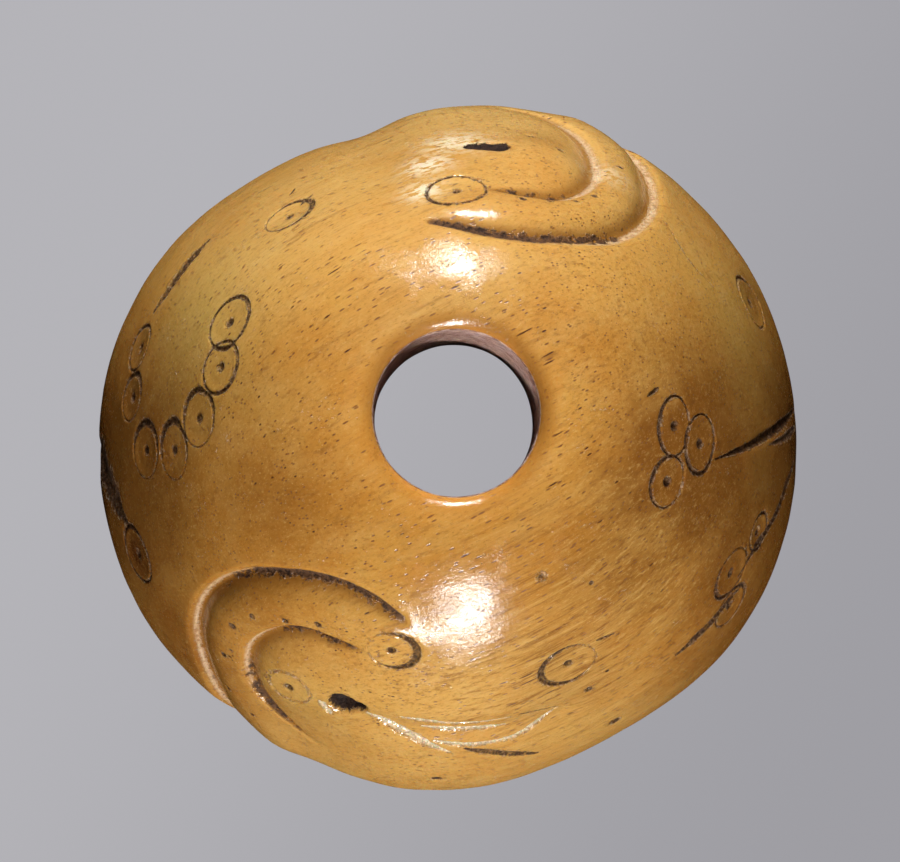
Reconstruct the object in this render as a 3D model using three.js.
// A bone spindle whorl: a high dome turned from the end of a long bone, drilled from top to base for the
// spindle, flat underneath, and carved with two hooked heads whose bodies curl over the dome's edge.
// Millimetres, +Z up. The flat base lies on z = 0 and the outline is centred on the Z axis.
import * as THREE from "three";

// The blank.
const OUTER_RADIUS = 15.1; // at the widest level, where nothing is pared away
const WIDEST_LEVEL = 3; // height of the widest level above the base
const FOOT_RADIUS = 11.6; // the flat base ends here, and the foot curves up to the widest level
const DOME_RISE = 15.75; // from the widest level to where an undrilled dome would close
const DOME_SHOULDER = 2.6; // more makes the top flatter and moves the bend outwards; 2 is a ball's
const DOME_FLANK = 0.8; // 0.5 is a ball's round flank and 1 a straight one
const BORE_RADIUS = 3.45;
const BORE_X = 0.25; // the bore stands a little off the middle of the outline
const BORE_Y = 1.0;
const LIP_WIDTH = 0.95; // rounding of the bore's upper edge, along the dome and down the bore
const LIP_DROP = 0.7;
const LIP_TILT = 19.5; // slope of the dome where the lip begins, in degrees
const HEEL_RADIUS = 0.4; // rounding of the bore's lower edge

// The outline is not round. Each saddle is where the flank was pared away: the bearing of its middle and
// its half width, in degrees, and its depth as a share of the radius.
const SADDLES = [
  { bearing: 105, spread: 5, depth: 0.021 },
  { bearing: 115, spread: 20, depth: 0.064 },
  { bearing: 239, spread: 15, depth: 0.027 },
  { bearing: 298, spread: 16, depth: 0.046 },
];

// The two carved heads. Each station is a bearing and a latitude on the dome, in degrees, and for a groove
// the share of its full depth there. A bearing counts from +X towards +Y, and a latitude from the widest
// level up to the top.
const HEADS = [
  {
    outerGroove: [
      [96, 55, 0.3], [83, 57, 0.8], [70, 56, 1], [59, 52, 1], [51, 45, 1], [49, 35, 1], [51, 24, 1],
      [56, 11, 1], [63, -8, 0.9],
    ],
    innerGroove: [
      [82, 47, 0.1], [74, 46, 0.5], [66, 43, 0.9], [62, 36, 1], [63, 28, 1], [67, 18, 0.8], [73, 11, 0.5],
      [80, 7, 0.1],
    ],
    body: [[86, 51], [73, 51], [64, 49], [57, 43], [55, 35], [57, 25], [62, 14], [68, 2]],
    boss: [72, 33],
    eye: [83, 33],
  },
  {
    outerGroove: [
      [255, 56, 0.3], [245, 57, 0.8], [234, 56, 1], [223, 52, 1], [215, 45, 1], [213, 36, 1], [216, 27, 1],
      [222, 18, 1], [228, 6, 1], [232, -8, 0.9],
    ],
    innerGroove: [
      [248, 48, 0.1], [241, 47, 0.6], [233, 45, 0.9], [228, 40, 1], [227, 34, 1], [231, 27, 0.9],
      [238, 22, 0.5], [246, 18, 0.1],
    ],
    body: [
      [252, 52], [242, 52], [232, 50], [224, 45], [220, 38], [222, 30], [227, 23], [234, 15], [240, 4],
    ],
    boss: [237, 33],
    eye: [249, 36],
  },
];
const GROOVE = { width: 0.48, height: -0.42 };
const BODY = { width: 1.2, height: 0.22 };
const BOSS = { width: 2.1, height: 0.35 };
const EYE = { width: 0.45, height: -0.7 };

// A worn trough runs from the second head's eye along the flank, and a forked cut crosses the +X side.
const TROUGH = { along: [[256, 33], [272, 33], [292, 30]], width: 0.9, height: -0.25 };
const SIDE_CUT = {
  along: [[355, 42, 0.3], [1, 28, 1], [4, 14, 0.6], [6, 2, 0.1]],
  width: 0.4,
  height: -0.2,
};

// How finely the faceted solid is divided.
const TURN_STEPS = 106;
const FOOT_STEPS = 5;
const DOME_STEPS = 31;
const LIP_STEPS = 4;
const BORE_STEPS = 3;
const HEEL_STEPS = 2;
const PATH_STEPS = 40;

const { cos, sin, PI } = Math;
const radians = THREE.MathUtils.degToRad;

// Evenly spaced angles from one to another, in radians, without the last one.
function angles(from, to, steps) {
  return Array.from({ length: steps }, (_, i) => from + ((to - from) * i) / steps);
}

// Radius and height on the round blank's outer surface at a latitude in radians.
function flank(latitude) {
  if (latitude < 0) {
    const overhang = OUTER_RADIUS - FOOT_RADIUS;
    return new THREE.Vector2(FOOT_RADIUS + overhang * cos(latitude), WIDEST_LEVEL * (1 + sin(latitude)));
  }
  const rise = (1 - cos(latitude) ** DOME_SHOULDER) ** DOME_FLANK;
  return new THREE.Vector2(OUTER_RADIUS * cos(latitude), WIDEST_LEVEL + DOME_RISE * rise);
}

// The blank's section, round once: foot, dome, lip, bore, heel and along the base back to the foot.
function section() {
  const lipStart = Math.atan2(LIP_DROP, LIP_WIDTH * Math.tan(radians(LIP_TILT)));
  const top = Math.acos((BORE_RADIUS + LIP_WIDTH * (1 + cos(lipStart))) / OUTER_RADIUS);
  const lipLevel = flank(top).y - LIP_DROP * sin(lipStart);
  const corner = (width, drop, level, angle) =>
    new THREE.Vector2(BORE_RADIUS + width * (1 + cos(angle)), level + drop * sin(angle));
  const foot = angles(-PI / 2, 0, FOOT_STEPS).map(flank);
  const dome = angles(0, top, DOME_STEPS).map(flank);
  const lip = angles(lipStart, PI, LIP_STEPS).map((angle) => corner(LIP_WIDTH, LIP_DROP, lipLevel, angle));
  const bore = Array.from({ length: BORE_STEPS }, (_, i) => {
    const level = lipLevel + ((HEEL_RADIUS - lipLevel) * i) / BORE_STEPS;
    return new THREE.Vector2(BORE_RADIUS, level);
  });
  const heel = angles(PI, 1.5 * PI, HEEL_STEPS).map((angle) =>
    corner(HEEL_RADIUS, HEEL_RADIUS, HEEL_RADIUS, angle),
  );
  const base = [new THREE.Vector2(BORE_RADIUS + HEEL_RADIUS, 0), foot[0].clone()];
  return [...foot, ...dome, ...lip, ...bore, ...heel, ...base];
}

// The point of the round blank at a bearing and a latitude in degrees.
function spot([bearing, latitude]) {
  const at = flank(radians(latitude));
  return new THREE.Vector3(at.x * cos(radians(bearing)), at.x * sin(radians(bearing)), at.y);
}

// The share of the full depth at a share of the way along a path's stations.
function depthAt(stations, along) {
  const place = along * (stations.length - 1);
  const before = Math.min(Math.floor(place), stations.length - 2);
  const [, , from = 1] = stations[before];
  const [, , to = 1] = stations[before + 1];
  return from + (to - from) * (place - before);
}

// A ridge or a groove: how far it raises the surface at a point, a bell across its path.
function run(stations, { width, height }) {
  const path = new THREE.CatmullRomCurve3(stations.map(spot)).getPoints(PATH_STEPS);
  const legs = path.slice(1).map((end, i) => ({
    line: new THREE.Line3(path[i], end),
    height: height * depthAt(stations, (i + 0.5) / PATH_STEPS),
  }));
  const foot = new THREE.Vector3();
  return (point) => {
    const gap = ({ line }) => line.closestPointToPoint(point, true, foot).distanceTo(point);
    const nearest = legs.reduce((best, leg) => (gap(leg) < gap(best) ? leg : best));
    return nearest.height * Math.exp(-((gap(nearest) / width) ** 2));
  };
}

// A round boss or pit: the same bell about one point.
function dot(at, { width, height }) {
  const middle = spot(at);
  return (point) => height * Math.exp(-((middle.distanceTo(point) / width) ** 2));
}

// One carved head: a curled body between two grooves, the boss inside its curl and the eye beside the boss.
function head({ outerGroove, innerGroove, body, boss, eye }) {
  return [
    run(body, BODY),
    run(outerGroove, GROOVE),
    run(innerGroove, GROOVE),
    dot(boss, BOSS),
    dot(eye, EYE),
  ];
}

// How much of the radius is pared away at a bearing in degrees.
function pared(bearing) {
  const share = ({ bearing: middle, spread, depth }) => {
    const away = THREE.MathUtils.euclideanModulo(bearing - middle + 180, 360) - 180;
    return depth * Math.exp(-0.5 * (away / spread) ** 2);
  };
  return SADDLES.map(share).reduce((sum, depth) => sum + depth, 0);
}

// Moves a point of the round blank to its place in the uneven one: pared at the flank, and shifted towards
// the bore's own axis near the bore.
function uneven(point) {
  const radius = Math.hypot(point.x, point.y);
  const outward = THREE.MathUtils.smoothstep(radius, BORE_RADIUS + LIP_WIDTH / 2, OUTER_RADIUS);
  const bearing = THREE.MathUtils.radToDeg(Math.atan2(point.y, point.x));
  const scale = 1 - outward * pared(bearing);
  point.x = point.x * scale + BORE_X * (1 - outward);
  point.y = point.y * scale + BORE_Y * (1 - outward);
}

function whorlGeometry() {
  const geometry = new THREE.LatheGeometry(section(), TURN_STEPS);
  geometry.rotateX(PI / 2);
  const carving = [
    ...HEADS.flatMap(head),
    run(TROUGH.along, TROUGH),
    run(SIDE_CUT.along, SIDE_CUT),
  ];
  const { position, normal } = geometry.attributes;
  const point = new THREE.Vector3();
  const outwards = new THREE.Vector3();
  for (let i = 0; i < position.count; i++) {
    point.fromBufferAttribute(position, i);
    outwards.fromBufferAttribute(normal, i);
    const radius = Math.hypot(point.x, point.y);
    const carved = point.z > 0 && radius > BORE_RADIUS + LIP_WIDTH;
    const rise = carved ? carving.reduce((sum, shape) => sum + shape(point), 0) : 0;
    point.addScaledVector(outwards, rise);
    uneven(point);
    position.setXYZ(i, point.x, point.y, Math.max(point.z, 0));
  }
  geometry.computeBoundingBox();
  const middle = geometry.boundingBox.getCenter(new THREE.Vector3());
  geometry.translate(-middle.x, -middle.y, 0);
  geometry.computeVertexNormals();
  return geometry;
}

const bone = new THREE.MeshStandardMaterial({ color: "#c68f40", roughness: 0.35, metalness: 0 });
const whorl = new THREE.Mesh(whorlGeometry(), bone);
whorl.name = "whorl";

const part = new THREE.Group();
part.add(whorl);

export default part;
